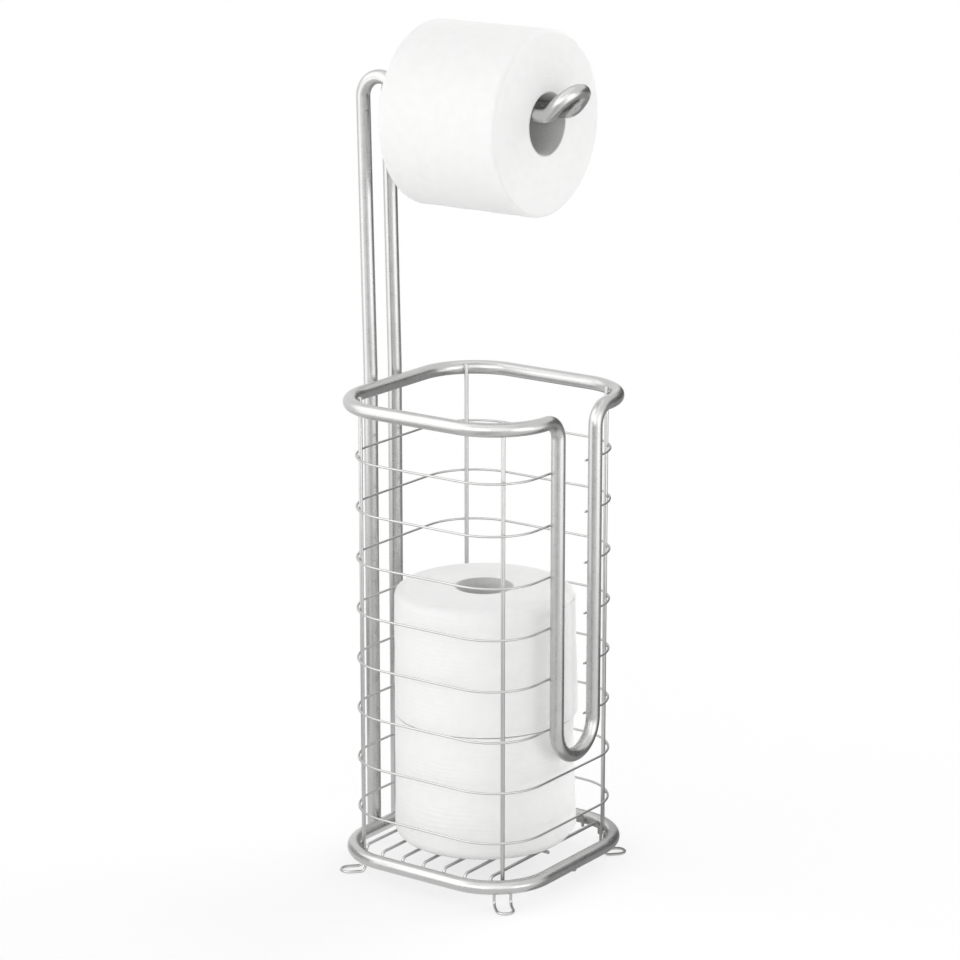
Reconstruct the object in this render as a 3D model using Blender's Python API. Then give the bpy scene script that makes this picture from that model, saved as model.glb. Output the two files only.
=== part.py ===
"""Freestanding toilet paper holder in bent steel tube and wire, with one roll hung and two stored.

The dispensing slot faces -Y and the hairpin stand is at +Y. Z = 0 is the floor, and the origin is the
middle of the footprint. The pieces are placed about the basket's own middle, on one empty that is then
moved so that the slot's front and the stand's back lie equally far from the origin.
"""
import math

import bmesh
import bpy
from mathutils import Vector

MM = 0.001

# Paper rolls
roll_radius = 64.2 * MM
core_bore_radius = 21.5 * MM
core_wall = 0.7 * MM
hanging_roll_length = 97.0 * MM
hanging_roll_centre_y = -4.0 * MM
stored_roll_length = 92.5 * MM
roll_edge_radius = 2.5 * MM

# The plan that the rim and the base ring share, on the tube's centre line: a rounded rectangle that
# stands clear of the rolls at the sides, and a little less at the front and back
roll_to_side = 16.8 * MM
roll_to_front = 14.4 * MM
plan_half_width = roll_radius + roll_to_side
plan_half_depth = roll_radius + roll_to_front
plan_corner_radius = 44.0 * MM

# Stock: one size of tube and four sizes of wire
tube_radius = 5.0 * MM
corner_wire_radius = 1.5 * MM
ring_wire_radius = 0.95 * MM
tray_wire_radius = 1.15 * MM
foot_wire_radius = 1.05 * MM

# Gap left between two pieces that touch, and between the core and the rods it hangs on
touch_gap = 0.3 * MM
hanging_gap = 0.4 * MM

# Heights of the two tube rings above the floor, on the centre line
base_ring_height = 17.0 * MM
rim_height = 346.6 * MM

# Dispensing slot: the rim's ends turn down into one long U
slot_half_spacing = 22.8 * MM
slot_bottom_above_base = 81.9 * MM
slot_shoulder_radius = 14.0 * MM

# Hairpin stand: two uprights behind the basket, an arm over it and a hook that closes the loop
stand_half_spacing = 14.3 * MM
stand_foot_height = 7.0 * MM
stand_lean = math.radians(1.3)
stand_lean_start_above_rim = 10.0 * MM
stand_lean_bend_radius = 60.0 * MM
arm_height = 551.8 * MM
arm_drop = math.radians(60.0)
arm_top_bend_radius = 15.0 * MM
arm_saddle_bend_radius = 15.0 * MM
arm_drop_straight = 0.5 * MM
hook_rise = math.radians(48.0)
hook_bend_radius = 14.0 * MM
hook_length = 23.0 * MM
hook_clearance = 3.5 * MM

# Basket: level wires round the four corner wires
ring_wire_count = 8
top_ring_wire_below_rim = 38.9 * MM
lowest_ring_wire_above_base = 31.0 * MM
ring_end_past_leg_axis = 3.3 * MM
corner_wire_above_rim = 4.0 * MM
corner_wire_below_base = 1.5 * MM

# Tray: wires along X like long staples, tied by one wire below them
tray_wire_count = 7
tray_end_wire_inset = 24.3 * MM
tray_height = 22.2 * MM
tray_bend_radius = 4.0 * MM
tray_tie_end_past_wire = 1.6 * MM

# Feet: wire loops that turn out under the corners
foot_half_spacing = 5.9 * MM
foot_reach_past_ring = 6.0 * MM
foot_bend_radius = 4.0 * MM
foot_leg_above_ring = 2.5 * MM

# Weld nub that closes the base ring, under the middle of its front run
nub_radius = 2.1 * MM
nub_height = 1.6 * MM

# Facets
tube_bevel_resolution = 4
wire_bevel_resolution = 2
ring_wire_bevel_resolution = 1
tube_step = math.radians(10.0)
wire_step = math.radians(13.0)
tight_step = math.radians(18.0)
roll_sides = 40
roll_edge_steps = 2
smooth_below = math.radians(35.0)
same_point = 0.001 * MM


def new_material(name, colour, roughness, metallic):
    """Return a Principled material."""
    made = bpy.data.materials.new(name)
    made.use_nodes = True
    shader = made.node_tree.nodes["Principled BSDF"]
    shader.inputs["Base Color"].default_value = (*colour, 1.0)
    shader.inputs["Roughness"].default_value = roughness
    shader.inputs["Metallic"].default_value = metallic
    made.diffuse_color = (*colour, 1.0)
    return made


def bent_path(corners, radii, step, closed=False):
    """Return the points of a bent centre line: straight runs, with an arc at each inner corner."""
    points = []
    count = len(corners)
    for index, corner in enumerate(corners):
        if not closed and index in (0, count - 1):
            points.append(corner)
            continue
        before = (corners[index - 1] - corner).normalized()
        after = (corners[(index + 1) % count] - corner).normalized()
        turn = math.pi - before.angle(after)
        reach = radii[index] * math.tan(turn / 2)
        centre = corner + (before + after).normalized() * (radii[index] / math.cos(turn / 2))
        start = corner + before * reach - centre
        side = -before
        steps = max(2, math.ceil(turn / step))
        for k in range(steps + 1):
            angle = turn * k / steps
            points.append(centre + start * math.cos(angle) + side * (radii[index] * math.sin(angle)))
    kept = [points[0]]
    for point in points[1:]:
        if (point - kept[-1]).length > same_point:
            kept.append(point)
    if closed and (kept[-1] - kept[0]).length <= same_point:
        kept.pop()
    return kept


def bent_bar(name, points, radius, resolution, finish, closed=False, tilt=0.0):
    """Make a round bar or tube along the points, with closed ends unless the path is a loop."""
    curve = bpy.data.curves.new(name, "CURVE")
    curve.dimensions = "3D"
    curve.bevel_depth = radius
    curve.bevel_resolution = resolution
    curve.use_fill_caps = not closed
    spline = curve.splines.new("POLY")
    spline.points.add(len(points) - 1)
    for target, point in zip(spline.points, points):
        target.co = (*point, 1.0)
        target.tilt = tilt
    spline.use_cyclic_u = closed
    spline.use_smooth = True
    made = bpy.data.objects.new(name, curve)
    made.data.materials.append(finish)
    bpy.context.collection.objects.link(made)
    return made


def turned_tube(name, profile, sides, finish):
    """Turn a closed profile of (radius, height) pairs about the Z axis into a ring-shaped solid."""
    shape = bmesh.new()
    loops = []
    for radius, height in profile:
        loop = []
        for k in range(sides):
            angle = math.tau * k / sides
            loop.append(shape.verts.new((radius * math.cos(angle), radius * math.sin(angle), height)))
        loops.append(loop)
    for index, loop in enumerate(loops):
        upper = loops[(index + 1) % len(loops)]
        for k in range(sides):
            n = (k + 1) % sides
            shape.faces.new((loop[k], loop[n], upper[n], upper[k]))
    bmesh.ops.recalc_face_normals(shape, faces=shape.faces)
    mesh = bpy.data.meshes.new(name)
    shape.to_mesh(mesh)
    shape.free()
    mesh.shade_smooth()
    mesh.set_sharp_from_angle(angle=smooth_below)
    made = bpy.data.objects.new(name, mesh)
    made.data.materials.append(finish)
    bpy.context.collection.objects.link(made)
    return made


def plan_corners(inset, height):
    """Return the plan's corners, moved in by the inset, anticlockwise from the front right."""
    x = plan_half_width - inset
    y = plan_half_depth - inset
    order = ((x, -y), (x, y), (-x, y), (-x, -y))
    return [Vector((*place, height)) for place in order]


def plan_half_width_at(y, inset):
    """Return how far the plan, moved in by the inset, reaches along X at the given y."""
    radius = plan_corner_radius - inset
    straight = plan_half_depth - plan_corner_radius
    past = max(abs(y) - straight, 0)
    return plan_half_width - plan_corner_radius + math.sqrt(radius ** 2 - past ** 2)


def corner_point(side_x, side_y, radius, angle):
    """Return the place at a radius and an angle from the diagonal, from the centre of a plan corner."""
    diagonal = math.atan2(side_y, side_x)
    return Vector((
        side_x * (plan_half_width - plan_corner_radius) + radius * math.cos(diagonal + angle),
        side_y * (plan_half_depth - plan_corner_radius) + radius * math.sin(diagonal + angle),
        0,
    ))


def make_rim(finish):
    """The rim and the dispensing slot: one tube, bent round the top, down, under and up again."""
    front_right, back_right, back_left, front_left = plan_corners(0, rim_height)
    slot_bottom = base_ring_height + slot_bottom_above_base
    y = -plan_half_depth
    corners = [
        front_right, back_right, back_left, front_left,
        Vector((-slot_half_spacing, y, rim_height)),
        Vector((-slot_half_spacing, y, slot_bottom)),
        Vector((slot_half_spacing, y, slot_bottom)),
        Vector((slot_half_spacing, y, rim_height)),
    ]
    radii = [plan_corner_radius] * 4
    radii += [slot_shoulder_radius, slot_half_spacing, slot_half_spacing, slot_shoulder_radius]
    path = bent_path(corners, radii, tube_step, closed=True)
    bent_bar("rim_and_slot_tube", path, tube_radius, tube_bevel_resolution, finish, closed=True)


def make_base_ring(finish):
    """The closed base ring, and the weld nub below its front run."""
    corners = plan_corners(0, base_ring_height)
    path = bent_path(corners, [plan_corner_radius] * len(corners), tube_step, closed=True)
    bent_bar("base_ring_tube", path, tube_radius, tube_bevel_resolution, finish, closed=True)
    top = base_ring_height - tube_radius - touch_gap
    nub = [Vector((0, -plan_half_depth, top)), Vector((0, -plan_half_depth, top - nub_height))]
    bent_bar("base_ring_weld_nub", nub, nub_radius, wire_bevel_resolution, finish)


def stand_half_path(side):
    """Return the corners and bend radii of one rod of the stand, from the floor end to the hook's tip."""
    x = side * stand_half_spacing
    upright_y = plan_half_depth + 2 * tube_radius + touch_gap
    lean_start = rim_height + stand_lean_start_above_rim
    top_reach = arm_top_bend_radius * math.tan((math.pi / 2 + arm_drop + stand_lean) / 2)
    saddle_reach = arm_saddle_bend_radius * math.tan(arm_drop / 2)
    drop_length = top_reach + arm_drop_straight + saddle_reach
    top_height = arm_height + drop_length * math.sin(arm_drop)
    top_y = upright_y + (top_height - lean_start) * math.tan(stand_lean)
    hook_start = hanging_roll_centre_y - hanging_roll_length / 2 - hook_clearance
    hook_y = hook_start - hook_bend_radius * math.tan(hook_rise / 2)
    saddle_y = top_y - drop_length * math.cos(arm_drop)
    tip_y = hook_y - hook_length * math.cos(hook_rise)
    tip_height = arm_height + hook_length * math.sin(hook_rise)
    corners = [
        Vector((x, upright_y, stand_foot_height)),
        Vector((x, upright_y, lean_start)),
        Vector((x, top_y, top_height)),
        Vector((x, saddle_y, arm_height)),
        Vector((x, hook_y, arm_height)),
        Vector((x, tip_y, tip_height)),
    ]
    radii = [0, stand_lean_bend_radius, arm_top_bend_radius, arm_saddle_bend_radius]
    radii += [hook_bend_radius, stand_half_spacing]
    return corners, radii


def make_stand(finish):
    """The hairpin: up, over, through the hanging roll, round the hook and back. Return its rearmost y."""
    right, right_radii = stand_half_path(1)
    left, left_radii = stand_half_path(-1)
    path = bent_path(right + left[::-1], right_radii + left_radii[::-1], tube_step)
    bent_bar("stand_hairpin_tube", path, tube_radius, tube_bevel_resolution, finish)
    return max(point.y for point in path) + tube_radius


def make_corner_wires(finish):
    """Four straight wires inside the corners, from the base ring to the rim's top."""
    inset = tube_radius + touch_gap + corner_wire_radius
    names = {(1, -1): "front_right", (1, 1): "back_right", (-1, 1): "back_left", (-1, -1): "front_left"}
    for (side_x, side_y), label in names.items():
        place = corner_point(side_x, side_y, plan_corner_radius - inset, 0)
        low = place + Vector((0, 0, base_ring_height - corner_wire_below_base))
        high = place + Vector((0, 0, rim_height + corner_wire_above_rim))
        bent_bar(f"corner_wire_{label}", [low, high], corner_wire_radius, wire_bevel_resolution, finish)


def slot_leg_x(height):
    """Return how far the slot's legs stand from the middle at a height, which is 0 at its bottom."""
    below = base_ring_height + slot_bottom_above_base + slot_half_spacing - height
    return math.sqrt(max(slot_half_spacing ** 2 - max(below, 0) ** 2, 0))


def ring_bend_radius(front_inset, inset, corner_inset):
    """Return the bend with which a ring wire just clears a corner wire on its way to the front run.

    The bend touches the side run and the front run, and the corner wire stands on the plan's diagonal.
    """
    diagonal_share = math.sqrt(0.5)
    off_diagonal = plan_corner_radius - (plan_corner_radius - corner_inset) * diagonal_share
    off_side = off_diagonal - inset
    off_front = off_diagonal - front_inset
    clear = corner_wire_radius + touch_gap + ring_wire_radius
    half = off_side + off_front - clear
    return half + math.sqrt(half ** 2 - off_side ** 2 - off_front ** 2 + clear ** 2)


def make_ring_wires(finish):
    """Level wires outside the corner wires: open ones that end behind the slot's legs, then closed ones.

    The open ones run straight across the front, a little further back so that they pass behind the
    legs. A wire at the height of the slot's bottom bend is closed too, and passes behind that bend.
    """
    corner_inset = tube_radius + touch_gap + corner_wire_radius
    inset = corner_inset - corner_wire_radius - touch_gap - ring_wire_radius
    front_inset = tube_radius + touch_gap + ring_wire_radius
    front_bend = ring_bend_radius(front_inset, inset, corner_inset)
    behind_slot = -(plan_half_depth - front_inset)
    below_slot = base_ring_height + slot_bottom_above_base - tube_radius - touch_gap - ring_wire_radius
    highest = rim_height - top_ring_wire_below_rim
    lowest = base_ring_height + lowest_ring_wire_above_base
    pitch = (highest - lowest) / (ring_wire_count - 1)
    for level in range(ring_wire_count):
        height = highest - level * pitch
        name = f"ring_wire_{level + 1}"
        path = plan_corners(inset, height)
        radii = [plan_corner_radius - inset] * len(path)
        closed = True
        if height > below_slot:
            path[0].y = path[-1].y = behind_slot
            radii[0] = radii[-1] = front_bend
            end_x = slot_leg_x(height) - ring_end_past_leg_axis
            closed = end_x < ring_wire_radius
            if not closed:
                path = [Vector((end_x, behind_slot, height)), *path, Vector((-end_x, behind_slot, height))]
                radii = [0, *radii, 0]
        points = bent_path(path, radii, wire_step, closed=closed)
        bent_bar(name, points, ring_wire_radius, ring_wire_bevel_resolution, finish, closed=closed)


def make_tray(finish):
    """The wires under the stored rolls, turned down inside the base ring, and the tie below them."""
    inset = tube_radius + touch_gap + tray_wire_radius
    end_height = base_ring_height - tube_radius
    end_y = plan_half_depth - tray_end_wire_inset
    for index in range(tray_wire_count):
        y = end_y * (2 * index / (tray_wire_count - 1) - 1)
        x = plan_half_width_at(y, inset)
        corners = [
            Vector((-x, y, end_height)), Vector((-x, y, tray_height)),
            Vector((x, y, tray_height)), Vector((x, y, end_height)),
        ]
        radii = [0, tray_bend_radius, tray_bend_radius, 0]
        path = bent_path(corners, radii, tight_step)
        bent_bar(f"tray_wire_{index + 1}", path, tray_wire_radius, ring_wire_bevel_resolution, finish)
    reach = end_y + tray_wire_radius + tray_tie_end_past_wire
    height = tray_height - 2 * tray_wire_radius - touch_gap
    tie = [Vector((0, -reach, height)), Vector((0, reach, height))]
    bent_bar("tray_tie_wire", tie, tray_wire_radius, wire_bevel_resolution, finish)


def make_feet(finish):
    """A wire loop under each corner: two legs inside the base ring, turned out along the floor.

    The wire's facets are turned so that it rests on a flat one.
    """
    leg_radius = plan_corner_radius - tube_radius - touch_gap - foot_wire_radius
    spread = math.asin(foot_half_spacing / leg_radius)
    tip_radius = plan_corner_radius + tube_radius + foot_reach_past_ring - foot_wire_radius
    run = tip_radius - leg_radius * math.cos(spread)
    top = base_ring_height + foot_leg_above_ring
    half_facet = math.pi / (2 * (wire_bevel_resolution + 2))
    floor = foot_wire_radius * math.cos(half_facet)
    names = {(1, -1): "front_right", (1, 1): "back_right", (-1, 1): "back_left", (-1, -1): "front_left"}
    for (side_x, side_y), label in names.items():
        outward = Vector((side_x, side_y, 0)).normalized()
        first = corner_point(side_x, side_y, leg_radius, spread)
        last = corner_point(side_x, side_y, leg_radius, -spread)
        up = Vector((0, 0, top))
        down = Vector((0, 0, floor))
        corners = [
            first + up, first + down, first + down + outward * run,
            last + down + outward * run, last + down, last + up,
        ]
        radii = [0, foot_bend_radius, foot_half_spacing, foot_half_spacing, foot_bend_radius, 0]
        path = bent_path(corners, radii, tight_step)
        bent_bar(f"foot_{label}", path, foot_wire_radius, wire_bevel_resolution, finish, tilt=half_facet)


def roll_profile(length):
    """Return the paper's profile about its axis: a bore round the core and softly rounded outer edges."""
    bore = core_bore_radius + core_wall + touch_gap
    half = length / 2
    profile = [(bore, half), (bore, -half)]
    for end in (-1, 1):
        for k in range(roll_edge_steps + 1):
            angle = math.pi / 2 * k / roll_edge_steps
            share_out, share_in = math.sin(angle), 1 - math.cos(angle)
            if end > 0:
                share_out, share_in = math.cos(angle), 1 - math.sin(angle)
            radius = roll_radius - roll_edge_radius * (1 - share_out)
            profile.append((radius, end * (half - roll_edge_radius * share_in)))
    return profile


def make_roll(label, length, centre, lying, paper, cardboard):
    """A roll of paper on its cardboard core, standing on end or lying along Y."""
    core_profile = [
        (core_bore_radius, length / 2), (core_bore_radius, -length / 2),
        (core_bore_radius + core_wall, -length / 2), (core_bore_radius + core_wall, length / 2),
    ]
    body = turned_tube(f"{label}_paper", roll_profile(length), roll_sides, paper)
    core = turned_tube(f"{label}_core", core_profile, roll_sides, cardboard)
    for piece in (body, core):
        piece.location = centre
        if lying:
            piece.rotation_euler = (math.pi / 2, 0, 0)


def make_rolls(paper, cardboard):
    """One roll hung on the arm and two stacked on the tray."""
    rod_seat = core_bore_radius - hanging_gap - tube_radius
    axis_below_arm = math.sqrt(rod_seat ** 2 - stand_half_spacing ** 2)
    hanging = (0, hanging_roll_centre_y, arm_height - axis_below_arm)
    make_roll("hanging_roll", hanging_roll_length, hanging, True, paper, cardboard)
    lower_foot = tray_height + tray_wire_radius + touch_gap
    upper_foot = lower_foot + stored_roll_length + touch_gap
    for label, foot in (("lower_stored_roll", lower_foot), ("upper_stored_roll", upper_foot)):
        centre = (0, 0, foot + stored_roll_length / 2)
        make_roll(label, stored_roll_length, centre, False, paper, cardboard)


for old in list(bpy.data.objects):
    bpy.data.objects.remove(old, do_unlink=True)

steel = new_material("satin_steel", (0.60, 0.60, 0.59), 0.28, 1.0)
tissue = new_material("tissue_paper", (0.93, 0.93, 0.92), 0.95, 0.0)
board = new_material("core_cardboard", (0.52, 0.49, 0.45), 0.9, 0.0)

make_rim(steel)
stand_back = make_stand(steel)
make_base_ring(steel)
make_corner_wires(steel)
make_ring_wires(steel)
make_tray(steel)
make_feet(steel)
make_rolls(tissue, board)

holder = bpy.data.objects.new("holder", None)
for piece in list(bpy.data.objects):
    if piece != holder:
        piece.parent = holder
bpy.context.collection.objects.link(holder)
rim_front = -(plan_half_depth + tube_radius)
holder.location.y = -(rim_front + stand_back) / 2
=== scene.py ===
import math

import bmesh
import bpy
import numpy as np
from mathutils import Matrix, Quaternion, Vector


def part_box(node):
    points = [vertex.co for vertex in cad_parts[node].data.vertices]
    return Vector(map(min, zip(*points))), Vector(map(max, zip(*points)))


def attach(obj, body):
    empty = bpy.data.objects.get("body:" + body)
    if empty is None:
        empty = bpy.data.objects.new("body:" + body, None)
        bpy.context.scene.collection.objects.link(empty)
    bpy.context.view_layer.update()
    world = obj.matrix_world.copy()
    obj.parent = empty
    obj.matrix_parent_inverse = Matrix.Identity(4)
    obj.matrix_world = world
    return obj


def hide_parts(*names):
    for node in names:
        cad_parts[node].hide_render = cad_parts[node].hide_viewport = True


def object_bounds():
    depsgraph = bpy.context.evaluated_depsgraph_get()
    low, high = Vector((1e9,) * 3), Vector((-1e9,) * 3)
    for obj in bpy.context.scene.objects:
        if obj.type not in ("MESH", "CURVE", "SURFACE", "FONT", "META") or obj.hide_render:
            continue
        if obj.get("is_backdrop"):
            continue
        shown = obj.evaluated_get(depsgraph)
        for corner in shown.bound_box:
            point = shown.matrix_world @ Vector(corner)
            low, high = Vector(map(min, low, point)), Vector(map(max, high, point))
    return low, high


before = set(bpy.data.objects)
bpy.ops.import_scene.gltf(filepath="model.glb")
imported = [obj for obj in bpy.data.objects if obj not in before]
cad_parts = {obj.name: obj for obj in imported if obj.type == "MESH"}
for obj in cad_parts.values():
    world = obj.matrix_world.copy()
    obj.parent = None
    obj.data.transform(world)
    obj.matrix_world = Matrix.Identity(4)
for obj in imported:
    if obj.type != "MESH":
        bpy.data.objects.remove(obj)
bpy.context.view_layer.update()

# Camera. It stands off the basket's front left corner and looks slightly down, with a long lens
# that keeps the uprights and the corner wires close to vertical.
camera_target = Vector((-0.0017, -0.0050, 0.2867))
camera_azimuth = math.radians(-54.5)
camera_elevation = math.radians(15.0)
camera_distance = 2.449
camera_lens_mm = 130.3
camera_back = Vector((
    math.sin(camera_azimuth) * math.cos(camera_elevation),
    -math.cos(camera_azimuth) * math.cos(camera_elevation),
    math.sin(camera_elevation),
))
bpy.ops.object.camera_add(
    location=camera_target + camera_back * camera_distance,
    rotation=(math.pi / 2 - camera_elevation, 0, camera_azimuth),
)
camera = bpy.context.object
camera.name = "camera"
camera.data.lens = camera_lens_mm
bpy.context.scene.camera = camera
bpy.context.scene.view_settings.view_transform = "Standard"

# Backdrop and floor. Both are plain white to the camera and in the metal, while the light that they
# throw on the holder stays low. The floor is matte and keeps a share of the holder's shadow.
white = (1.0, 1.0, 1.0, 1.0)
wrap_light = 0.42
white_level = 1.0
floor_size = 30.0
floor_grey = (0.86, 0.86, 0.86, 1.0)
floor_glow = 0.705
floor_shadow_share = 0.35


def seen_directly(tree):
    """Return a socket that is 1 for the rays that show the backdrop: camera, glossy and transmission."""
    path = tree.nodes.new("ShaderNodeLightPath")
    total = path.outputs["Is Camera Ray"]
    for kind in ("Is Glossy Ray", "Is Transmission Ray"):
        either = tree.nodes.new("ShaderNodeMath")
        either.operation = "MAXIMUM"
        tree.links.new(total, either.inputs[0])
        tree.links.new(path.outputs[kind], either.inputs[1])
        total = either.outputs[0]
    return total


world = bpy.data.worlds.new("studio")
bpy.context.scene.world = world
world.use_nodes = True
sky = world.node_tree
sky.nodes["Background"].inputs["Strength"].default_value = wrap_light
sky.nodes["Background"].inputs["Color"].default_value = white
backdrop = sky.nodes.new("ShaderNodeBackground")
backdrop.inputs["Color"].default_value = white
backdrop.inputs["Strength"].default_value = white_level
sky_mix = sky.nodes.new("ShaderNodeMixShader")
sky.links.new(seen_directly(sky), sky_mix.inputs[0])
sky.links.new(sky.nodes["Background"].outputs[0], sky_mix.inputs[1])
sky.links.new(backdrop.outputs[0], sky_mix.inputs[2])
sky.links.new(sky_mix.outputs[0], sky.nodes["World Output"].inputs["Surface"])

bpy.ops.object.select_all(action="DESELECT")
bpy.ops.mesh.primitive_plane_add(size=floor_size)
floor = bpy.context.object
floor.name = "floor"
pale = bpy.data.materials.new("pale_floor")
pale.use_nodes = True
tree = pale.node_tree
matte = tree.nodes["Principled BSDF"]
matte.inputs["Base Color"].default_value = floor_grey
matte.inputs["Roughness"].default_value = 1.0
matte.inputs["Specular IOR Level"].default_value = 0.0
glow = tree.nodes.new("ShaderNodeEmission")
glow.inputs["Strength"].default_value = floor_glow / (1 - floor_shadow_share)
shown = tree.nodes.new("ShaderNodeMixShader")
shown.inputs[0].default_value = floor_shadow_share
tree.links.new(glow.outputs[0], shown.inputs[1])
tree.links.new(matte.outputs[0], shown.inputs[2])
floor_mix = tree.nodes.new("ShaderNodeMixShader")
tree.links.new(seen_directly(tree), floor_mix.inputs[0])
tree.links.new(matte.outputs[0], floor_mix.inputs[1])
tree.links.new(shown.outputs[0], floor_mix.inputs[2])
tree.links.new(floor_mix.outputs[0], tree.nodes["Material Output"].inputs["Surface"])
floor.data.materials.append(pale)
floor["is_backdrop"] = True

# Lamps. Wide soft lamps stand at the holder's left, behind it, over it and in front of its slot. The
# one at its right only lifts the paper's shaded side, so it doesn't show in the metal.
lamp_distance = 3.0


def soft_lamp(name, towards, strength, spread, in_metal=True):
    """Light the holder softly from the direction given, from a disc as wide as the spread in degrees."""
    turn = Vector(towards).to_track_quat("Z", "Y").to_euler()
    place = Vector(towards).normalized() * lamp_distance
    bpy.ops.object.light_add(type="SUN", location=place, rotation=turn)
    lamp = bpy.context.object
    lamp.name = name
    lamp.data.energy = strength
    lamp.data.angle = math.radians(spread)
    lamp.visible_glossy = in_metal


soft_lamp("left_softbox", towards=(-1.0, 0.10, 0.15), strength=0.80, spread=60)
soft_lamp("back_left_softbox", towards=(-0.6, 0.8, 0.6), strength=0.71, spread=60)
soft_lamp("camera_softbox", towards=(-0.81, -0.58, 0.45), strength=0.48, spread=60)
soft_lamp("slot_softbox", towards=(-0.15, -1.0, 0.06), strength=0.50, spread=30)
soft_lamp("right_fill", towards=(1.0, -0.3, 0.5), strength=1.75, spread=60, in_metal=False)
soft_lamp("top_fill", towards=(-0.1, 0.1, 1.0), strength=0.235, spread=60)

# Cards. Satin metal takes its light and dark stripes from what stands round it. These cards show in
# its reflections alone: they light nothing, shade nothing, and no camera sees them.


def only_in_metal(card, name, level):
    """Make a card glow at a level that only reflections show."""
    card.name = name
    glowing = bpy.data.materials.new(name)
    glowing.use_nodes = True
    glowing.node_tree.nodes.remove(glowing.node_tree.nodes["Principled BSDF"])
    glow = glowing.node_tree.nodes.new("ShaderNodeEmission")
    glow.inputs["Strength"].default_value = level
    output = glowing.node_tree.nodes["Material Output"]
    glowing.node_tree.links.new(glow.outputs[0], output.inputs["Surface"])
    card.data.materials.append(glowing)
    card.visible_camera = False
    card.visible_diffuse = False
    card.visible_shadow = False
    card.visible_transmission = False
    card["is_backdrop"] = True


def flat_card(name, centre, facing, width, height, level):
    """Hold a card at a place, facing the way given."""
    turn = Vector(facing).to_track_quat("Z", "Y").to_euler()
    bpy.ops.object.select_all(action="DESELECT")
    bpy.ops.mesh.primitive_plane_add(size=1.0, location=centre, rotation=turn)
    card = bpy.context.object
    card.scale = (width, height, 1.0)
    only_in_metal(card, name, level)


def floor_fan(name, apex, turns, reaches, height, level):
    """Lay a fan-shaped card over the floor, between two turns in degrees and two reaches from its apex."""
    bpy.ops.object.select_all(action="DESELECT")
    bpy.ops.mesh.primitive_plane_add(size=1.0, location=(*apex, height))
    card = bpy.context.object
    for corner in card.data.vertices:
        turn = math.radians(turns[0] if corner.co.x < 0 else turns[1])
        reach = reaches[0] if corner.co.y < 0 else reaches[1]
        corner.co = (reach * math.cos(turn), reach * math.sin(turn), 0)
    only_in_metal(card, name, level)


# The flag at the right darkens the front's level tubes, and the three low cards darken the base ring.
flat_card("right_flag", centre=(2.00, -0.55, 0.65), facing=(-2.00, 0.55, 0.0),
          width=3.2, height=1.3, level=0.14)
flat_card("low_flag", centre=(0.17, -0.21, 0.06), facing=(-1, 0, 0), width=0.30, height=0.12, level=0.16)
flat_card("low_card", centre=(0.17, 0.01, 0.06), facing=(-1, 0, 0), width=0.14, height=0.12, level=0.60)
flat_card("low_back_card", centre=(-0.128, 0.21, 0.06), facing=(0.34, -0.94, 0),
          width=0.28, height=0.12, level=0.48)

# Upright tubes reflect the floor. Across a tube from left to right, the metal shows a bright card,
# the grey mats, a second bright card and the dark mat.
flat_card("near_mat", centre=(0.0, 0.0, 0.001), facing=(0, 0, 1), width=1.9, height=1.9, level=0.86)
floor_fan("camera_mat", apex=(0.0, 0.05), turns=(-168, -138), reaches=(0.2, 8.0), height=0.004, level=0.62)
floor_fan("right_mat", apex=(-0.07, -0.07), turns=(-54, 50), reaches=(0.03, 3.0), height=0.003, level=0.36)
floor_fan("front_card", apex=(0.0, 0.0), turns=(-112, -62), reaches=(1.0, 8.0), height=0.002, level=1.9)
floor_fan("back_left_card", apex=(0.0, 0.09), turns=(118, 160), reaches=(1.0, 8.0), height=0.002, level=1.9)

# Base ring. One length of 10 mm steel tube, bent to a rounded square, butt welded under the front
# and plated satin nickel with everything that is welded to it.
tube_sides = 40
tube_bend_step = math.radians(4.0)
corner_radius = 0.044
merge_distance = 0.00002
crease_angle = math.radians(40.0)
tube_dark = (0.525, 0.525, 0.52)
tube_light = (0.565, 0.565, 0.56)
plate_tone_scale = 60.0
plate_gloss_scale = 240.0
plate_grain_scale = 1800.0
ring_low, ring_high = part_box("base_ring_tube")
tube_radius = (ring_high.z - ring_low.z) / 2
base_height = (ring_high.z + ring_low.z) / 2
basket_y = (ring_high.y + ring_low.y) / 2
half_width = ring_high.x - tube_radius
half_depth = (ring_high.y - ring_low.y) / 2 - tube_radius


def plan_corners(inset, height):
    """Return the basket's plan corners, moved in by the inset, anticlockwise from the front right."""
    x = half_width - inset
    y = half_depth - inset
    return [Vector((sx * x, basket_y + sy * y, height)) for sx, sy in ((1, -1), (1, 1), (-1, 1), (-1, -1))]


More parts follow.
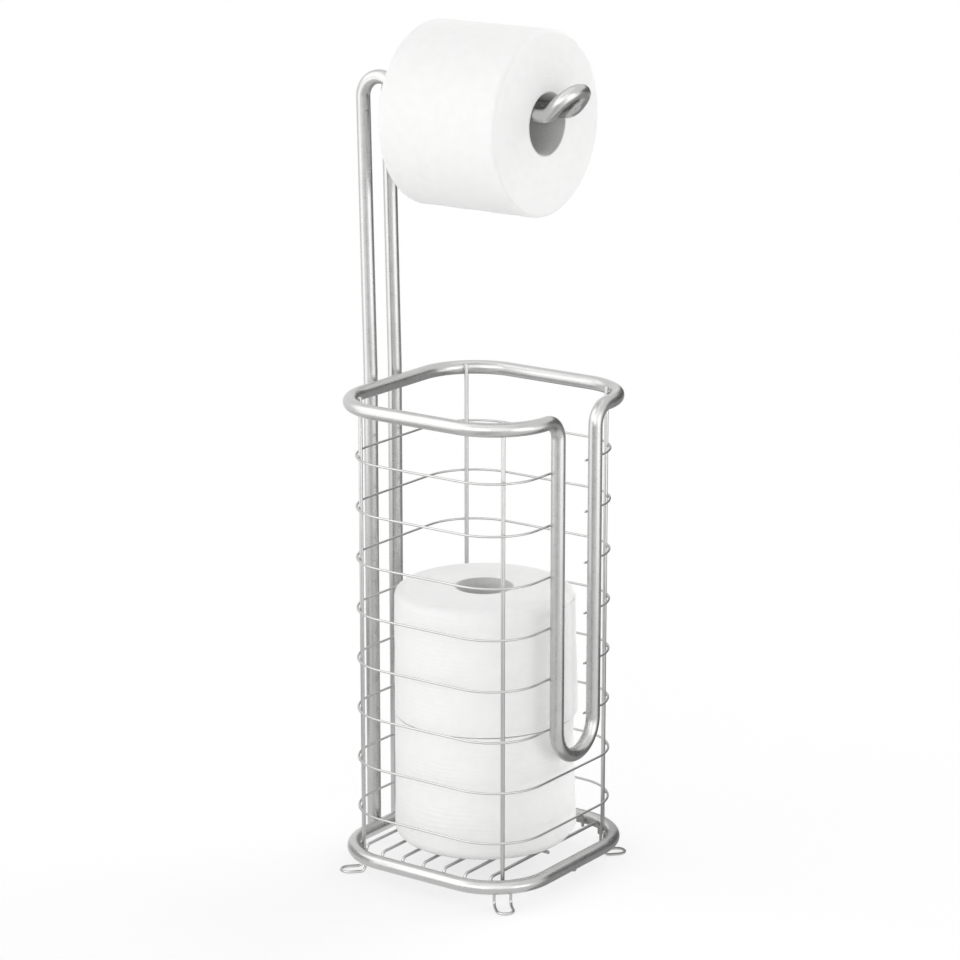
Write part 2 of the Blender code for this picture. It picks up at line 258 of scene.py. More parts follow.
def bend_bar(name, corners, radii, bar_radius, sides, step, closed=False, end_round_share=0.4):
    """Push a round bar through the corners as a tube bender does: a straight run, then a bend."""
    count = len(corners)
    ways = [(corners[(k + 1) % count] - corners[k]).normalized() for k in range(count)]
    trims = [0.0] * count
    for k in range(0 if closed else 1, count if closed else count - 1):
        trims[k] = radii[k] * math.tan(ways[k - 1].angle(ways[k]) / 2)
    place = corners[0] + ways[0] * trims[0]
    way = ways[0]
    bpy.ops.object.select_all(action="DESELECT")
    turn = way.to_track_quat("Z", "Y").to_euler()
    bpy.ops.mesh.primitive_circle_add(vertices=sides, radius=bar_radius, location=place, rotation=turn)
    made = bpy.context.object
    made.name = name
    made.data.name = name
    bpy.ops.object.transform_apply(location=True, rotation=True, scale=True)
    bpy.ops.object.mode_set(mode="EDIT")
    bpy.ops.mesh.select_all(action="SELECT")
    for k in range(count if closed else count - 1):
        following = (k + 1) % count
        run = (corners[following] - corners[k]).length - trims[k] - trims[following]
        bpy.ops.mesh.extrude_region_move(TRANSFORM_OT_translate={"value": way * run})
        place = place + way * run
        if trims[following] > 0:
            angle = way.angle(ways[following])
            side = (ways[following] - way * way.dot(ways[following])).normalized()
            centre = place + side * radii[following]
            steps = max(2, math.ceil(angle / step))
            bpy.ops.mesh.spin(steps=steps, angle=angle, center=centre, axis=side.cross(way))
            place = centre + Quaternion(way.cross(side), angle) @ (place - centre)
            way = ways[following]
    bpy.ops.mesh.select_all(action="SELECT")
    bpy.ops.mesh.remove_doubles(threshold=merge_distance)
    if not closed:
        bpy.ops.mesh.fill_holes(sides=0)
        bpy.ops.mesh.select_mode(type="FACE")
        bpy.ops.mesh.select_all(action="DESELECT")
        bpy.ops.mesh.select_face_by_sides(number=sides, type="EQUAL")
        bpy.ops.mesh.bevel(offset=bar_radius * end_round_share, segments=3, affect="EDGES")
        bpy.ops.mesh.select_mode(type="VERT")
        bpy.ops.mesh.select_all(action="SELECT")
    bpy.ops.mesh.normals_make_consistent(inside=False)
    bpy.ops.object.mode_set(mode="OBJECT")
    bpy.ops.object.shade_smooth_by_angle(angle=crease_angle)
    return made


def dress(piece, finish, body):
    """Give a finished piece its material and its body."""
    piece.data.materials.clear()
    piece.data.materials.append(finish)
    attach(piece, body)


def noise_value(tree, scale, detail, low=0.0, high=1.0):
    """Return a socket that wanders between two values over the surface, at a scale in cycles a metre."""
    place = tree.nodes.new("ShaderNodeTexCoord")
    cloud = tree.nodes.new("ShaderNodeTexNoise")
    cloud.inputs["Scale"].default_value = scale
    cloud.inputs["Detail"].default_value = detail
    spread = tree.nodes.new("ShaderNodeMapRange")
    spread.inputs["From Min"].default_value = 0.3
    spread.inputs["From Max"].default_value = 0.7
    spread.inputs["To Min"].default_value = low
    spread.inputs["To Max"].default_value = high
    tree.links.new(place.outputs["Object"], cloud.inputs["Vector"])
    tree.links.new(cloud.outputs["Fac"], spread.inputs["Value"])
    return spread.outputs["Result"]


def wandering_colour(tree, shader, dark, light, scale, detail):
    """Let a shader's base colour wander between a darker and a lighter tone."""
    tone = tree.nodes.new("ShaderNodeMix")
    tone.data_type = "RGBA"
    tone.inputs["A"].default_value = (*dark, 1.0)
    tone.inputs["B"].default_value = (*light, 1.0)
    tree.links.new(noise_value(tree, scale, detail), tone.inputs["Factor"])
    tree.links.new(tone.outputs["Result"], shader.inputs["Base Color"])


def raised_by(tree, height_socket, strength, distance):
    """Return a bump node that raises the surface a little by a height socket."""
    bump = tree.nodes.new("ShaderNodeBump")
    bump.inputs["Strength"].default_value = strength
    bump.inputs["Distance"].default_value = distance
    tree.links.new(height_socket, bump.inputs["Height"])
    return bump


def satin_nickel(name, dark, light, smooth, rough):
    """Satin nickel plate: fine blasted grain, with slow changes in its colour and its gloss."""
    made = bpy.data.materials.new(name)
    made.use_nodes = True
    tree = made.node_tree
    plate = tree.nodes["Principled BSDF"]
    plate.inputs["Metallic"].default_value = 1.0
    wandering_colour(tree, plate, dark, light, plate_tone_scale, 4.0)
    gloss = noise_value(tree, plate_gloss_scale, 3.0, smooth, rough)
    tree.links.new(gloss, plate.inputs["Roughness"])
    grain = raised_by(tree, noise_value(tree, plate_grain_scale, 2.0), strength=0.02, distance=0.00002)
    tree.links.new(grain.outputs["Normal"], plate.inputs["Normal"])
    return made


tube_finish = satin_nickel("satin_nickel_tube", tube_dark, tube_light, smooth=0.26, rough=0.33)
base_ring = bend_bar("base_ring", plan_corners(0, base_height), [corner_radius] * 4, tube_radius,
                     tube_sides, tube_bend_step, closed=True)
dress(base_ring, tube_finish, "frame")
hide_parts("base_ring_tube")

# Rim and dispensing slot. One tube again: round the top, down beside the slot, through a U bend
# and up again, so that the rolls can be seen and lifted by hand through the gap.
rim_low, rim_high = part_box("rim_and_slot_tube")
rim_height = rim_high.z - tube_radius
slot_bottom = rim_low.z + tube_radius
slot_half_spacing = 0.0228
slot_shoulder_radius = 0.014
slot_y = basket_y - half_depth
slot_turns = [
    Vector((-slot_half_spacing, slot_y, rim_height)),
    Vector((-slot_half_spacing, slot_y, slot_bottom)),
    Vector((slot_half_spacing, slot_y, slot_bottom)),
    Vector((slot_half_spacing, slot_y, rim_height)),
]
rim_radii = [corner_radius] * 4
rim_radii += [slot_shoulder_radius, slot_half_spacing, slot_half_spacing, slot_shoulder_radius]
rim = bend_bar("rim_and_slot", plan_corners(0, rim_height) + slot_turns, rim_radii, tube_radius,
               tube_sides, tube_bend_step, closed=True)
dress(rim, tube_finish, "frame")
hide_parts("rim_and_slot_tube")

# Stand. A hairpin of the same tube: two uprights welded behind the basket, an arm bent forward and
# down into a saddle, and a raised hook that closes the loop and keeps the roll on.
stand_low, stand_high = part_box("stand_hairpin_tube")
stand_half_spacing = stand_high.x - tube_radius
stand_foot = stand_low.z
touch_gap = 0.0003
upright_y = basket_y + half_depth + 2 * tube_radius + touch_gap
lean = math.radians(1.3)
lean_above_rim = 0.010
lean_start = rim_height + lean_above_rim
lean_bend_radius = 0.060
arm_height = 0.5518
arm_drop = math.radians(60.0)
arm_bend_radius = 0.015
arm_drop_straight = 0.0005
hook_rise = math.radians(48.0)
hook_bend_radius = 0.014
hook_length = 0.023
hook_clearance = 0.0035
hung_roll_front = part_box("hanging_roll_paper")[0].y
top_reach = arm_bend_radius * math.tan((math.pi / 2 + arm_drop + lean) / 2)
saddle_reach = arm_bend_radius * math.tan(arm_drop / 2)
drop_length = top_reach + arm_drop_straight + saddle_reach
top_height = arm_height + drop_length * math.sin(arm_drop)
top_y = upright_y + (top_height - lean_start) * math.tan(lean)
saddle_y = top_y - drop_length * math.cos(arm_drop)
hook_y = hung_roll_front - hook_clearance - hook_bend_radius * math.tan(hook_rise / 2)
tip_y = hook_y - hook_length * math.cos(hook_rise)
tip_height = arm_height + hook_length * math.sin(hook_rise)


def stand_half(side):
    """Return one rod's corners, from its foot to the hook's tip."""
    x = side * stand_half_spacing
    return [
        Vector((x, upright_y, stand_foot)),
        Vector((x, upright_y, lean_start)),
        Vector((x, top_y, top_height)),
        Vector((x, saddle_y, arm_height)),
        Vector((x, hook_y, arm_height)),
        Vector((x, tip_y, tip_height)),
    ]


stand_radii = [0, lean_bend_radius, arm_bend_radius, arm_bend_radius, hook_bend_radius, stand_half_spacing]
stand = bend_bar("hairpin_stand", stand_half(1) + stand_half(-1)[::-1], stand_radii + stand_radii[::-1],
                 tube_radius, tube_sides, tube_bend_step, end_round_share=0.25)
dress(stand, tube_finish, "frame")
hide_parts("stand_hairpin_tube")

# Corner wires. Four straight 3 mm wires stand inside the corners and carry the basket: they are
# butted against the inside of the rim and of the base ring and spot welded there.
wire_sides = 16
wire_bend_step = math.radians(7.0)
wire_dark = (0.52, 0.52, 0.515)
wire_light = (0.56, 0.56, 0.555)
corner_wire_low, corner_wire_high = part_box("corner_wire_front_right")
corner_wire_radius = (corner_wire_high.x - corner_wire_low.x) / 2
wire_finish = satin_nickel("satin_nickel_wire", wire_dark, wire_light, smooth=0.28, rough=0.32)
for label in ("front_right", "back_right", "back_left", "front_left"):
    node = "corner_wire_" + label
    low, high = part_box(node)
    middle = (low + high) / 2
    foot = Vector((middle.x, middle.y, low.z))
    head = Vector((middle.x, middle.y, high.z))
    wire = bend_bar("upright_wire_" + label, [foot, head], [0, 0], corner_wire_radius,
                    wire_sides, wire_bend_step)
    dress(wire, wire_finish, "frame")
    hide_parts(node)

# Ring wires. Eight level hoops of 1.9 mm wire, spot welded outside the corner wires. The upper six
# are open: they run straight across the front and end behind the slot's legs. The lower two are closed.
hoop_count = 8
open_hoops = 6
hoop_end_past_leg_axis = 0.0033
hoop_low, hoop_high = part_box("ring_wire_1")
hoop_radius = (hoop_high.z - hoop_low.z) / 2
hoop_inset = half_width + hoop_radius - hoop_high.x
hoop_bend = corner_radius - hoop_inset
behind_slot_y = slot_y + tube_radius + touch_gap + hoop_radius
hoop_end_x = slot_half_spacing - hoop_end_past_leg_axis

# An open hoop's front bend passes outside the corner wire and runs on into both straight sides. Its
# radius is the one at which it just clears the wire.
wire_in_corner = (corner_wire_low + corner_wire_high) / 2
off_side = half_width - hoop_inset - wire_in_corner.x
off_front = wire_in_corner.y - behind_slot_y
off_wire = corner_wire_radius + touch_gap + hoop_radius
bend_start = off_side + off_front - off_wire
front_bend = bend_start + math.sqrt(bend_start ** 2 - off_side ** 2 - off_front ** 2 + off_wire ** 2)
hoop_heights = []
for level in range(1, hoop_count + 1):
    node = f"ring_wire_{level}"
    low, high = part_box(node)
    height = (low.z + high.z) / 2
    hoop_heights.append(height)
    path = plan_corners(hoop_inset, height)
    radii = [hoop_bend] * 4
    if level <= open_hoops:
        path[0].y = path[-1].y = behind_slot_y
        right_end = Vector((hoop_end_x, behind_slot_y, height))
        left_end = Vector((-hoop_end_x, behind_slot_y, height))
        path = [right_end, *path, left_end]
        radii = [0, front_bend, hoop_bend, hoop_bend, front_bend, 0]
    hoop = bend_bar(f"basket_hoop_{level}", path, radii, hoop_radius, wire_sides, wire_bend_step,
                    closed=level > open_hoops)
    dress(hoop, wire_finish, "frame")
    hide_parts(node)

# Tray. Seven 2.3 mm wires like long staples, dropped across the base ring with their ends turned
# down inside it and welded, and one straight tie welded under them.
tray_wire_count = 7
tray_bend_radius = 0.004
tray_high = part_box("tray_wire_4")[1]
tie_low, tie_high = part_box("tray_tie_wire")
tray_wire_radius = (tie_high.z - tie_low.z) / 2
tray_height = tray_high.z - tray_wire_radius
tray_ends = []
for number in range(1, tray_wire_count + 1):
    node = f"tray_wire_{number}"
    low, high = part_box(node)
    y = (low.y + high.y) / 2
    x = high.x - tray_wire_radius
    path = [
        Vector((-x, y, low.z)),
        Vector((-x, y, tray_height)),
        Vector((x, y, tray_height)),
        Vector((x, y, low.z)),
    ]
    staple = bend_bar(f"tray_rod_{number}", path, [0, tray_bend_radius, tray_bend_radius, 0],
                      tray_wire_radius, wire_sides, wire_bend_step)
    dress(staple, wire_finish, "frame")
    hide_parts(node)
    tray_ends.append((x, y))
tie_height = (tie_low.z + tie_high.z) / 2
tie_front = Vector((0, tie_low.y, tie_height))
tie_back = Vector((0, tie_high.y, tie_height))
tie = bend_bar("tray_tie", [tie_front, tie_back], [0, 0], tray_wire_radius, wire_sides, wire_bend_step)
dress(tie, wire_finish, "frame")
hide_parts("tray_tie_wire")

# Feet. A hairpin of 2.1 mm wire under each corner: its two legs are welded up inside the base ring,
# and its loop is turned out flat on the floor.
foot_half_spacing = 0.0059
foot_bend_radius = 0.004
foot_wire_radius = 0.00105
foot_past_ring = 0.006
foot_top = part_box("foot_front_right")[1].z
foot_leg_radius = corner_radius - tube_radius - touch_gap - foot_wire_radius
foot_spread = math.asin(foot_half_spacing / foot_leg_radius)
foot_tip_radius = corner_radius + tube_radius + foot_past_ring - foot_wire_radius
foot_run = foot_tip_radius - foot_leg_radius * math.cos(foot_spread)
corners = {"front_right": (1, -1), "back_right": (1, 1), "back_left": (-1, 1), "front_left": (-1, -1)}


def at_corner(side_x, side_y, radius, turn, height):
    """Return the place at a radius and a turn from the diagonal, about the centre of a plan corner."""
    diagonal = math.atan2(side_y, side_x) + turn
    x = side_x * (half_width - corner_radius) + radius * math.cos(diagonal)
    y = basket_y + side_y * (half_depth - corner_radius) + radius * math.sin(diagonal)
    return Vector((x, y, height))


for label, (sx, sy) in corners.items():
    out = Vector((sx, sy, 0)).normalized() * foot_run
    top_1 = at_corner(sx, sy, foot_leg_radius, foot_spread, foot_top)
    top_2 = at_corner(sx, sy, foot_leg_radius, -foot_spread, foot_top)
    floor_1 = Vector((top_1.x, top_1.y, foot_wire_radius))
    floor_2 = Vector((top_2.x, top_2.y, foot_wire_radius))
    path = [top_1, floor_1, floor_1 + out, floor_2 + out, floor_2, top_2]
    radii = [0, foot_bend_radius, foot_half_spacing, foot_half_spacing, foot_bend_radius, 0]
    foot = bend_bar("wire_foot_" + label, path, radii, foot_wire_radius, wire_sides, wire_bend_step)
    dress(foot, wire_finish, "frame")
    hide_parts("foot_" + label)

# Cores. Each roll is wound on a tube of grey cardboard, itself wound from a strip whose edge shows
# as one slanting seam inside the bore.
core_sides = 96
core_rows = 99
core_wall = 0.0007
stored_core_is_smaller_by = 0.0010
core_seam_pitch = 0.062
core_seam_depth = 0.00018
core_seam_width = 0.0006
board_dark = (0.655, 0.66, 0.65)
board_light = (0.745, 0.75, 0.74)
board_fleck_scale = 900.0
board_fibre_scale = 1800.0


def grey_cardboard():
    """Grey board: soft fibre flecks and a dull face."""
    made = bpy.data.materials.new("grey_cardboard")
    made.use_nodes = True
    tree = made.node_tree
    board = tree.nodes["Principled BSDF"]
    board.inputs["Roughness"].default_value = 0.9
    wandering_colour(tree, board, board_dark, board_light, board_fleck_scale, 5.0)
    fibre = raised_by(tree, noise_value(tree, board_fibre_scale, 4.0), strength=0.6, distance=0.0001)
    tree.links.new(fibre.outputs["Normal"], board.inputs["Normal"])
    return made


def pick_edges(made, test):
    """In edit mode, select only the edges whose two ends pass the test."""
    shape = bmesh.from_edit_mesh(made.data)
    bpy.ops.mesh.select_mode(type="EDGE")
    bpy.ops.mesh.select_all(action="DESELECT")
    for edge in shape.edges:
        edge.select = test(edge.verts[0].co, edge.verts[1].co)
    shape.select_flush_mode()
    bmesh.update_edit_mesh(made.data)


def read_places(made):
    """Return the mesh's vertices as an array of rows."""
    places = np.empty(len(made.data.vertices) * 3)
    made.data.vertices.foreach_get("co", places)
    return places.reshape(-1, 3)


def write_places(made, places):
    """Give the mesh's vertices new places."""
    made.data.vertices.foreach_set("co", places.ravel())
    made.data.update()


def lay_down(made, node, lying):
    """Move a roll's piece from the origin to its node's middle, turned along Y if it hangs."""
    low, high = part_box(node)
    made.location = (low + high) / 2
    if lying:
        made.rotation_euler = (math.pi / 2, 0, 0)
    bpy.ops.object.select_all(action="DESELECT")
    made.select_set(True)
    bpy.context.view_layer.objects.active = made
    bpy.ops.object.transform_apply(location=True, rotation=True, scale=True)


board = grey_cardboard()
rolls = {"hanging_roll": True, "lower_stored_roll": False, "upper_stored_roll": False}
for roll, lying in rolls.items():
    node = roll + "_core"
    low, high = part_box(node)
    length = high.y - low.y if lying else high.z - low.z
    outer = (high.x - low.x) / 2 - (0 if lying else stored_core_is_smaller_by)
    bpy.ops.object.select_all(action="DESELECT")
    bpy.ops.mesh.primitive_cylinder_add(vertices=core_sides, radius=outer, depth=length,
                                        end_fill_type="NOTHING")
    core = bpy.context.object
    core.name = roll + "_cardboard_tube"
    core.data.name = core.name
    bpy.ops.object.mode_set(mode="EDIT")
    pick_edges(core, lambda a, b: abs(a.z - b.z) > length / 2)
    bpy.ops.mesh.subdivide(number_cuts=core_rows)
    bpy.ops.mesh.select_all(action="SELECT")
    bpy.ops.mesh.extrude_region_shrink_fatten(TRANSFORM_OT_shrink_fatten={"value": -core_wall})
    bpy.ops.mesh.select_all(action="SELECT")
    bpy.ops.mesh.normals_make_consistent(inside=False)
    bpy.ops.object.mode_set(mode="OBJECT")
    places = read_places(core)
    radius = np.hypot(places[:, 0], places[:, 1])
    turn = np.arctan2(places[:, 1], places[:, 0]) / math.tau
    off_seam = (places[:, 2] / core_seam_pitch - turn + 0.5) % 1.0 - 0.5
    groove = core_seam_depth * np.exp(-(off_seam * core_seam_pitch / core_seam_width) ** 2)
    inner = radius < outer - core_wall / 2
    places[inner, :2] *= ((radius + groove) / radius)[inner, None]
    write_places(core, places)
    bpy.ops.object.shade_smooth_by_angle(angle=crease_angle)
    lay_down(core, node, lying)
    dress(core, board, roll)
    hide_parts(node)

# Paper. Each roll is one long web of soft white tissue, wound on its core. The winding leaves
# shallow ridges round the side, and the cut layers show as fine rings on the two ends.
paper_sides = 160
side_rows = 170
end_rows = 80
shoulder_segments = 6
paper_crease_angle = math.radians(50.0)
bore_clearance = 0.0001

# The outer edges are soft where they are free, tight where one roll stands on the other, and in
# between on the hung roll. Each pair is the edge at the low end, then the one at the high end.
soft_shoulder = 0.0070
pressed_shoulder = 0.0006
hung_shoulder = 0.0032
shoulders = {
    "hanging_roll": (hung_shoulder, hung_shoulder),
    "lower_stored_roll": (soft_shoulder, pressed_shoulder),
    "upper_stored_roll": (pressed_shoulder, soft_shoulder),
}
ridge_pitch = 0.0034
ridge_height = 0.00027
ridge_drift = 0.25
ridge_patch_middle = 0.45
ridge_patch_swing = 0.6
ridge_patch_stretch = 1.5
slack_depth = 0.00035
layer_count = 400
layer_relief = 0.00014
end_wave_height = 0.0002
end_wave_scale = 12
paper_dark = (0.902, 0.902, 0.897)
paper_light = (0.925, 0.925, 0.92)
paper_cloud_scale = 130.0
paper_fibre_scale = 2400.0
crepe_scale = 420.0
crepe_stretched = 0.35
crepe_squeezed = 3.0


def across(co):
    """Return how far a place is from the Z axis."""
    return math.hypot(co.x, co.y)


def smooth_noise(x, y, seed, waves=7):
    """Return a smooth wandering value between about -1 and 1 that repeats in x after one turn."""
    draw = np.random.default_rng(seed)
    total = np.zeros_like(x)
    for _ in range(waves):
        round_count = draw.integers(0, 6)
        strength = draw.uniform(0.4, 1.0)
        slope = draw.uniform(-4, 4)
        start = draw.uniform(0, math.tau)
        total += strength * np.sin(round_count * x * math.tau + slope * y * math.tau + start)
    return total / math.sqrt(waves)


def tissue(name, lying):
    """Soft white tissue: crepe lines round the roll and fine fibre."""
    made = bpy.data.materials.new(name)
    made.use_nodes = True
    tree = made.node_tree
    paper = tree.nodes["Principled BSDF"]
    paper.inputs["Roughness"].default_value = 0.95
    paper.inputs["Specular IOR Level"].default_value = 0.15
    paper.inputs["Sheen Weight"].default_value = 0.12
    paper.inputs["Sheen Roughness"].default_value = 0.6
    wandering_colour(tree, paper, paper_dark, paper_light, paper_cloud_scale, 5.0)
    place = tree.nodes.new("ShaderNodeTexCoord")
    squeeze = tree.nodes.new("ShaderNodeMapping")
    along_y = (crepe_stretched, crepe_squeezed, crepe_stretched)
    along_z = (crepe_stretched, crepe_stretched, crepe_squeezed)
    squeeze.inputs["Scale"].default_value = along_y if lying else along_z
    tree.links.new(place.outputs["Object"], squeeze.inputs["Vector"])
    crepe = tree.nodes.new("ShaderNodeTexNoise")
    crepe.inputs["Scale"].default_value = crepe_scale
    crepe.inputs["Detail"].default_value = 3.0
    tree.links.new(squeeze.outputs["Vector"], crepe.inputs["Vector"])
    crepe_bump = raised_by(tree, crepe.outputs["Fac"], strength=0.35, distance=0.00018)
    fibre = noise_value(tree, paper_fibre_scale, 3.0)
    fibre_bump = raised_by(tree, fibre, strength=0.5, distance=0.00008)
    tree.links.new(crepe_bump.outputs["Normal"], fibre_bump.inputs["Normal"])
    tree.links.new(fibre_bump.outputs["Normal"], paper.inputs["Normal"])
    return made


standing_tissue = tissue("standing_tissue", lying=False)
hanging_tissue = tissue("hanging_tissue", lying=True)
for seed, (roll, lying) in enumerate(rolls.items()):
    node = roll + "_paper"
    low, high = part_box(node)
    length = high.y - low.y if lying else high.z - low.z
    roll_radius = (high.x - low.x) / 2
    low_shoulder, high_shoulder = shoulders[roll]
    core_low, core_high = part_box(roll + "_core")
    bore = (core_high.x - core_low.x) / 2 + bore_clearance - (0 if lying else stored_core_is_smaller_by)
    bpy.ops.object.select_all(action="DESELECT")
    bpy.ops.mesh.primitive_cylinder_add(vertices=paper_sides, radius=roll_radius, depth=length,
                                        end_fill_type="NOTHING")
    paper = bpy.context.object
    paper.name = roll + "_tissue"
    paper.data.name = paper.name
    bpy.ops.object.mode_set(mode="EDIT")
    pick_edges(paper, lambda a, b: abs(a.z - b.z) < length / 2)
    bpy.ops.mesh.extrude_region_move()
    bpy.ops.transform.resize(value=(bore / roll_radius, bore / roll_radius, 1), center_override=(0, 0, 0))
    bpy.ops.mesh.bridge_edge_loops()
    for side, shoulder in ((-1, low_shoulder), (1, high_shoulder)):
        pick_edges(paper, lambda a, b: min(across(a), across(b)) > roll_radius * 0.999
                   and min(side * a.z, side * b.z) > length * 0.4999)
        bpy.ops.mesh.bevel(offset=shoulder, segments=shoulder_segments, affect="EDGES")
    pick_edges(paper, lambda a, b: min(across(a), across(b)) > roll_radius * 0.999
               and abs(a.z - b.z) > length / 2)
    bpy.ops.mesh.subdivide(number_cuts=side_rows)
    pick_edges(paper, lambda a, b: abs(across(a) - across(b)) > roll_radius / 3)
    bpy.ops.mesh.subdivide(number_cuts=end_rows)
    bpy.ops.mesh.select_all(action="SELECT")
    bpy.ops.mesh.normals_make_consistent(inside=False)
    bpy.ops.object.mode_set(mode="OBJECT")
    places = read_places(paper)
    radius = np.hypot(places[:, 0], places[:, 1])
    turn = np.arctan2(places[:, 1], places[:, 0]) / math.tau
    along = places[:, 2] / length
    shoulder = np.where(along > 0, high_shoulder, low_shoulder)

    # The side is drawn in where the web is slack and between the ridges, which come and go in patches.
    outside = np.clip((radius - roll_radius + 2 * shoulder) / (2 * shoulder), 0, 1)
    slack = slack_depth * (0.5 + 0.5 * np.tanh(smooth_noise(turn, along, 10 + seed)))
    wander = ridge_drift * smooth_noise(turn, along, 20 + seed)
    patches = smooth_noise(turn, along * ridge_patch_stretch, 30 + seed)
    patch = np.clip(ridge_patch_middle + ridge_patch_swing * patches, 0, 1)
    ridge = ridge_height * patch * (0.5 + 0.5 * np.sin(math.tau * (places[:, 2] / ridge_pitch + wander)))

    # The ends are drawn in by the edges of the layers and by a slight waviness, but not in the bore.
    end_side = np.sign(along) * np.clip((np.abs(along) - 0.5 + shoulder / length) * length / shoulder, 0, 1)
    draw = np.random.default_rng(40 + seed)
    layers = np.convolve(draw.uniform(0, 1, layer_count), np.ones(3) / 3, mode="same")
    layer = np.interp(radius, np.linspace(bore, roll_radius, layer_count), layers)
    end_wave = 0.5 + 0.5 * smooth_noise(turn, radius * end_wave_scale, 50 + seed)
    dip = layer_relief * layer + end_wave_height * end_wave
    in_bore = radius < bore * 1.01
    dip[in_bore] = 0.0
    places[:, :2] *= (1 - outside * (slack + ridge) / radius)[:, None]
    places[:, 2] -= end_side * dip
    write_places(paper, places)
    bpy.ops.object.shade_smooth_by_angle(angle=paper_crease_angle)
    lay_down(paper, node, lying)
    dress(paper, hanging_tissue if lying else standing_tissue, roll)
    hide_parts(node)

# Loose ends. The last sheet of each stored roll is not stuck down: it stands a little off the roll
# at the slot's right, and more towards the bottom.
tail_thickness = 0.0003
tail_columns = 48
tail_rows = 60
tail_torn_height = 0.07
tail_edge_wave = 0.006
tail_edge_waves = 21
tail_root_sunk = 0.0007
tail_root_share = 0.25
tail_curl_power = 1.6
tail_ripple = 0.0002
tail_ripples_up = 9
tail_ripples_along = 5


def loose_end(roll, turns, low_lift, high_lift, rise_power, torn):
    """Hang the last sheet of a standing roll round its side, from one turn to another in degrees."""
    low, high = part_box(roll + "_paper")
    axis = (low + high) / 2
    radius = (high.x - low.x) / 2
    length = high.z - low.z - soft_shoulder - pressed_shoulder
    middle = (low.z + shoulders[roll][0] + high.z - shoulders[roll][1]) / 2
    first_turn = math.radians(turns[0])
    swept = math.radians(turns[1] - turns[0])
    bpy.ops.object.select_all(action="DESELECT")
    bpy.ops.mesh.primitive_grid_add(x_subdivisions=tail_columns, y_subdivisions=tail_rows, size=1.0)
    tail = bpy.context.object
    tail.name = roll + "_loose_end"
    tail.data.name = tail.name
    places = read_places(tail)
    share = places[:, 0] + 0.5
    level = places[:, 1] + 0.5
    cut = torn * np.clip(1 - level / tail_torn_height, 0, 1)
    cut += tail_edge_wave * np.sin(level * tail_edge_waves) * level
    share = share * (1 - cut)
    lift = low_lift * (1 - level) ** rise_power + high_lift * level
    sunk = tail_root_sunk * (1 - np.clip(share / tail_root_share, 0, 1))
    ripple = tail_ripple * np.sin(level * tail_ripples_up + share * tail_ripples_along) * share
    off = radius - sunk + lift * share ** tail_curl_power + ripple
    turn = first_turn + share * swept
    places[:, 0] = axis.x + off * np.cos(turn)
    places[:, 1] = axis.y + off * np.sin(turn)
    places[:, 2] = middle + (level - 0.5) * length
    write_places(tail, places)
    sheet = tail.modifiers.new("thickness", "SOLIDIFY")
    sheet.thickness = tail_thickness
    sheet.offset = 0.0
    bpy.ops.object.modifier_apply(modifier="thickness")
    bpy.ops.object.shade_smooth_by_angle(angle=crease_angle)
    dress(tail, standing_tissue, roll)


loose_end("upper_stored_roll", turns=(-100.0, -49.0), low_lift=0.0036, high_lift=0.0008,
          rise_power=1.0, torn=0.10)
loose_end("lower_stored_roll", turns=(-100.0, -49.0), low_lift=0.0030, high_lift=0.0000,
          rise_power=1.8, torn=0.04)

# Welds. Where wire crosses wire or tube it is spot welded, and a little metal is squeezed out round
# the joint before the whole holder is plated. A bead's half sizes are its depth, width and height.
weld_dark = (0.49, 0.49, 0.485)
weld_light = (0.54, 0.54, 0.535)
bead_unevenness = 0.035
bead_crease_angle = math.radians(60.0)
tray_bead_rise = 0.0005
weld_finish = satin_nickel("satin_nickel_weld", weld_dark, weld_light, smooth=0.32, rough=0.40)


def weld_group(name, places, half_sizes):
    """Put a flattened bead at each (point, heading) pair; its thin side faces along the heading."""
    bpy.ops.object.select_all(action="DESELECT")
    bpy.ops.mesh.primitive_ico_sphere_add(subdivisions=3, radius=1.0)
    model = bpy.context.object
    bpy.ops.object.mode_set(mode="EDIT")
    bpy.ops.mesh.select_all(action="SELECT")
    bpy.ops.transform.vertex_random(offset=bead_unevenness, uniform=0.3, normal=0.9, seed=7)
    bpy.ops.transform.resize(value=half_sizes, center_override=(0, 0, 0))
    bpy.ops.object.mode_set(mode="OBJECT")
    bpy.ops.object.shade_smooth_by_angle(angle=bead_crease_angle)
    beads = []
    for point, heading in places:
        bead = model.copy()
        bead.data = model.data.copy()
        bead.location = point
        bead.rotation_euler = (0, 0, heading)
        bpy.context.collection.objects.link(bead)
        beads.append(bead)
    bpy.data.objects.remove(model)
    for bead in beads:
        bead.select_set(True)
    bpy.context.view_layer.objects.active = beads[0]
    bpy.ops.object.transform_apply(location=True, rotation=True, scale=True)
    bpy.ops.object.join()
    welds = bpy.context.object
    welds.name = name
    welds.data.name = name
    dress(welds, weld_finish, "frame")


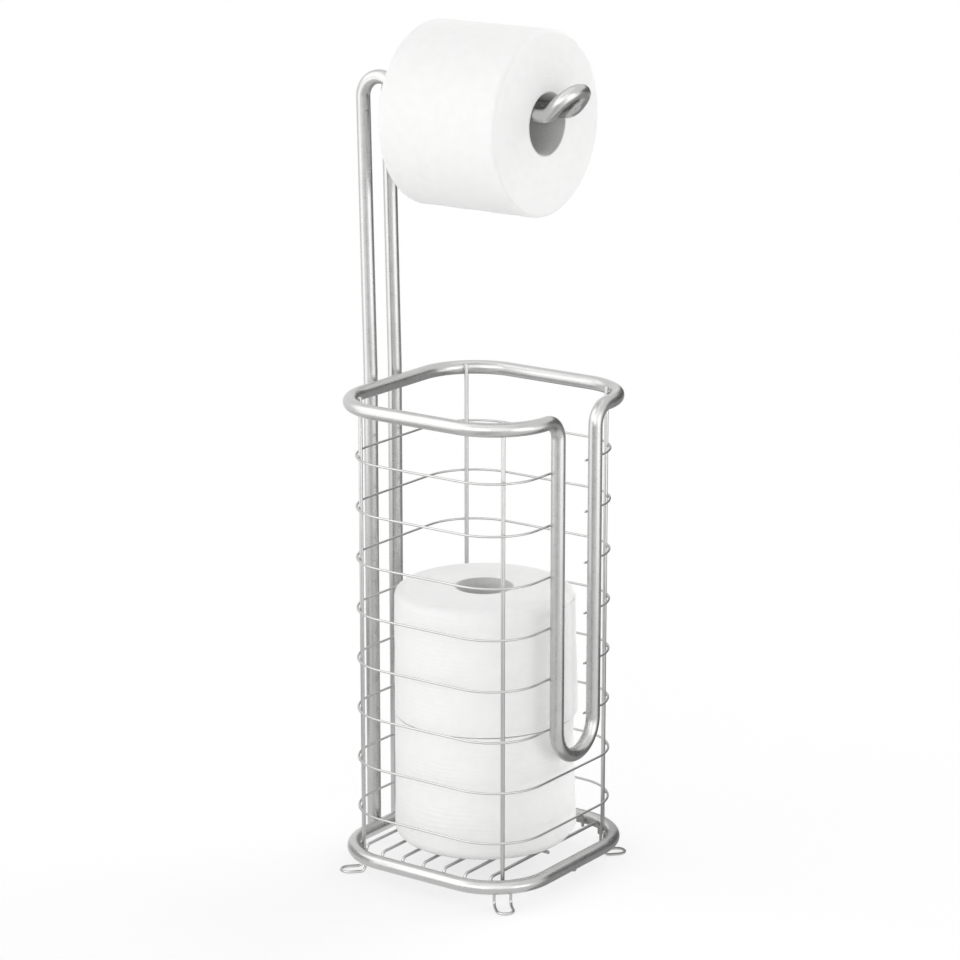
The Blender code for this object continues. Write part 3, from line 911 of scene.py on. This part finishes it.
corner_contact = corner_radius - tube_radius - touch_gap / 2
hoop_contact = hoop_bend - hoop_radius - touch_gap / 2
front_centre = Vector((half_width - hoop_inset - front_bend, behind_slot_y + front_bend, 0))
front_heading = math.atan2(wire_in_corner.y - front_centre.y, wire_in_corner.x - front_centre.x)
front_contact = front_bend - hoop_radius - touch_gap / 2
front_contact_x = front_centre.x + front_contact * math.cos(front_heading)
front_contact_y = front_centre.y + front_contact * math.sin(front_heading)
crossings = []
corner_butts = []
foot_welds = []
for sx, sy in corners.values():
    diagonal = math.atan2(sy, sx)
    for level, height in enumerate(hoop_heights, 1):
        place = at_corner(sx, sy, hoop_contact, 0, height)
        heading = diagonal
        if sy < 0 and level <= open_hoops:
            place = Vector((sx * front_contact_x, front_contact_y, height))
            heading = math.atan2(front_contact_y - front_centre.y, sx * (front_contact_x - front_centre.x))
        crossings.append((place, heading))
    for height in (rim_height, base_height):
        corner_butts.append((at_corner(sx, sy, corner_contact, 0, height), diagonal))
    for turn in (foot_spread, -foot_spread):
        foot_welds.append((at_corner(sx, sy, corner_contact, turn, base_height), diagonal + turn))
weld_group("hoop_crossing_welds", crossings, half_sizes=(0.0008, 0.0017, 0.0013))
weld_group("corner_wire_welds", corner_butts, half_sizes=(0.0007, 0.0014, 0.0022))
weld_group("foot_welds", foot_welds, half_sizes=(0.0005, 0.0010, 0.0018))

# The hoops' ends are welded to the slot's legs, the tray to the base ring and its tie, and the
# uprights to the rim and the base ring.
leg_contact_y = slot_y + tube_radius + touch_gap / 2
back_contact_y = basket_y + half_depth + tube_radius + touch_gap / 2
rod_contact_height = base_height + tray_bead_rise
tie_contact_height = tray_height - tray_wire_radius - touch_gap / 2
hoop_ends = []
stand_contacts = []
for side in (-1, 1):
    for height in hoop_heights[:open_hoops]:
        hoop_ends.append((Vector((side * slot_half_spacing, leg_contact_y, height)), math.pi / 2))
    for height in (rim_height, base_height):
        stand_contacts.append((Vector((side * stand_half_spacing, back_contact_y, height)), math.pi / 2))
rod_ends = []
tie_crossings = []
for x, y in tray_ends:
    for side in (-1, 1):
        rod_ends.append((Vector((side * (x + tray_wire_radius), y, rod_contact_height)), 0.0))
    tie_crossings.append((Vector((0, y, tie_contact_height)), 0.0))
weld_group("hoop_end_welds", hoop_ends, half_sizes=(0.0008, 0.0017, 0.0012))
weld_group("tray_rod_welds", rod_ends, half_sizes=(0.0005, 0.0011, 0.0018))
weld_group("tray_tie_welds", tie_crossings, half_sizes=(0.0013, 0.0013, 0.0006))
weld_group("stand_welds", stand_contacts, half_sizes=(0.0009, 0.0040, 0.0030))

# Weld nub. The base ring's ends meet under the middle of its front run, and the weld that closes
# them leaves a small drip there.
nub_low, nub_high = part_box("base_ring_weld_nub")
nub_middle = (nub_low + nub_high) / 2
nub_radius = (nub_high.x - nub_low.x) / 2
nub_sunk = 0.0001
nub_squash = (1.0, 0.9, 0.85)
nub_unevenness = 0.00012
bpy.ops.object.select_all(action="DESELECT")
bpy.ops.mesh.primitive_uv_sphere_add(segments=24, ring_count=14, radius=nub_radius,
                                     location=(nub_middle.x, nub_middle.y, ring_low.z + nub_sunk))
nub = bpy.context.object
nub.name = "weld_drip"
nub.data.name = nub.name
bpy.ops.object.transform_apply(location=True, rotation=True, scale=True)
bpy.ops.object.mode_set(mode="EDIT")
bpy.ops.mesh.select_all(action="SELECT")
bpy.ops.transform.resize(value=nub_squash, center_override=(nub_middle.x, nub_middle.y, ring_low.z))
bpy.ops.transform.vertex_random(offset=nub_unevenness, uniform=0.6, normal=0.8, seed=4)
bpy.ops.object.mode_set(mode="OBJECT")
bpy.ops.object.shade_smooth_by_angle(angle=bead_crease_angle)
dress(nub, tube_finish, "frame")
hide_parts("base_ring_weld_nub")

low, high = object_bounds()
